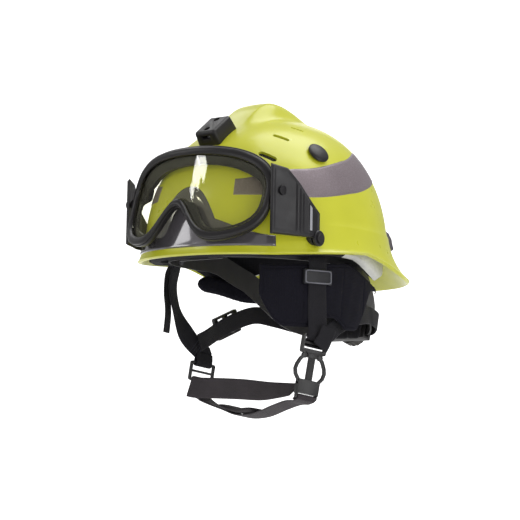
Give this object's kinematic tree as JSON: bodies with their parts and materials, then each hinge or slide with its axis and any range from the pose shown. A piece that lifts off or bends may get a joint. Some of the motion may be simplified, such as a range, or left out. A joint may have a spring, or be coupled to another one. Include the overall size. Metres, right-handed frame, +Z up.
{
  "type": "rescue helmet",
  "caption": "Vented high-visibility rescue helmet with a brim, goggles on swinging arms, an ear guard, a sized headband, a lamp bracket and a chin harness with a side buckle.",
  "frame": {"origin": "centre of the head opening, level with the brim beside the ears", "axes": "+Z up, the wearer faces -Y, the wearer's left is +X"},
  "size_m": [0.2404, 0.2941, 0.3141],
  "materials": {
    "shell_paint": "semi-gloss high-visibility yellow-green paint on moulded composite",
    "liner_foam": "moulded foam, matt off-white",
    "reflective_tape": "retroreflective tape, grey seen off axis",
    "peak_gloss": "gloss charcoal",
    "trim_plastic": "black moulded, fine grain",
    "screw_steel": "plain",
    "vent_mesh": "black moulded mesh",
    "clip_plastic": "grey moulded",
    "goggle_rubber": "soft satin black",
    "lens_clear": "clear hard-coated",
    "face_foam": "open-cell black foam",
    "arm_plastic": "satin black moulded",
    "band_plastic": "black, flexible",
    "knob_plastic": "black, grained",
    "pad_fabric": "black knitted cover over foam",
    "webbing": "black woven webbing",
    "guard_fabric": "navy-black flame-resistant cloth over padding",
    "guard_loop": "black",
    "buckle_plastic": "black moulded acetal",
    "chin_webbing": "dark grey-brown woven webbing",
    "chin_padding": "dark padded cloth"
  },
  "bodies": {
    "helmet": {"outer_shell": "shell_paint", "impact_liner": "liner_foam", "reflective_tape_left": "reflective_tape", "reflective_tape_right": "reflective_tape", "peak_plate": "peak_gloss", "lamp_bracket": "trim_plastic", "lamp_bracket_screws": "screw_steel", "crown_bolt_left": "trim_plastic", "crown_bolt_right": "trim_plastic", "vent_screen_left": "vent_mesh", "vent_screen_right": "vent_mesh", "rear_clip_left": "clip_plastic", "rear_clip_right": "clip_plastic", "goggle_clip_left": "trim_plastic", "goggle_clip_right": "trim_plastic", "brow_band": "trim_plastic", "brow_pad": "pad_fabric", "nape_pad": "pad_fabric", "ratchet_housing": "band_plastic", "crown_strap_long": "webbing", "crown_strap_cross": "webbing", "crown_pad": "pad_fabric", "strap_anchor_left": "trim_plastic", "strap_anchor_right": "trim_plastic", "ear_guard_left": "guard_fabric", "ear_guard_right": "guard_fabric", "guard_loop_left": "guard_loop", "side_strap_left": "webbing", "side_strap_right": "webbing", "rear_strap_left": "webbing", "rear_strap_right": "webbing", "strap_tail_left": "webbing", "strap_tail_right": "webbing", "strap_slider_right": "buckle_plastic", "chin_ring_right": "buckle_plastic", "buckle_tongue": "buckle_plastic"},
    "goggles": {"goggle_frame": "goggle_rubber", "goggle_bezel": "goggle_rubber", "goggle_lens": "lens_clear", "goggle_foam": "face_foam", "goggle_hinge_left": "arm_plastic", "goggle_hinge_right": "arm_plastic"},
    "goggle_arms": {"outrigger_left": "arm_plastic", "outrigger_right": "arm_plastic"},
    "knob": {"ratchet_knob": "knob_plastic"},
    "headband_left": {"band_left": "band_plastic"},
    "headband_right": {"band_right": "band_plastic"},
    "prong_front": {"buckle_prong_front": "buckle_plastic"},
    "prong_rear": {"buckle_prong_rear": "buckle_plastic"},
    "chin": {"chin_strap": "chin_webbing", "chin_strap_tail": "chin_webbing", "chin_pad": "chin_padding", "buckle_receiver": "buckle_plastic"}
  },
  "joints": [
    {"name": "arm_swing", "type": "hinge", "parent": "helmet", "child": "goggle_arms", "pos_m": [0, -0.064, 0.01], "axis": [1, 0, 0], "range_deg": [0, 58]},
    {"name": "goggle_tilt", "type": "hinge", "parent": "goggle_arms", "child": "goggles", "pos_m": [0, -0.103, 0.052], "axis": [-1, 0, 0], "range_deg": [-5, 2]},
    {"name": "knob_turn", "type": "hinge", "parent": "helmet", "child": "knob", "pos_m": [0.013, 0.107, -0.058], "axis": [0, 0.9659, -0.2588], "range_deg": [-14, 14]},
    {"name": "band_left_slide", "type": "slide", "parent": "helmet", "child": "headband_left", "axis": [1, 0, 0], "range_m": [-0.0015, 0.0015]},
    {"name": "band_right_slide", "type": "slide", "parent": "helmet", "child": "headband_right", "axis": [1, 0, 0], "range_m": [-0.0015, 0.0015]},
    {"name": "prong_front_squeeze", "type": "hinge", "parent": "helmet", "child": "prong_front", "pos_m": [0.08755, -0.05374, -0.09818], "axis": [-0.9135, 0.4067, 0], "range_deg": [-5, 0], "stiffness_Nm_per_rad": 0.05},
    {"name": "prong_rear_squeeze", "type": "hinge", "parent": "helmet", "child": "prong_rear", "pos_m": [0.09413, -0.03896, -0.10089], "axis": [-0.9135, 0.4067, 0], "range_deg": [0, 5], "stiffness_Nm_per_rad": 0.05},
    {"name": "chin_strap_swing", "type": "hinge", "parent": "helmet", "child": "chin", "pos_m": [-0.08859, -0.00311, -0.11829], "axis": [0.2807, 0.9475, -0.153], "range_deg": [0, 50]}
  ],
  "couplings": [
    {"joint": "band_left_slide", "follows": "knob_turn", "m_per_rad": 0.006},
    {"joint": "band_right_slide", "follows": "knob_turn", "m_per_rad": -0.006}
  ]
}
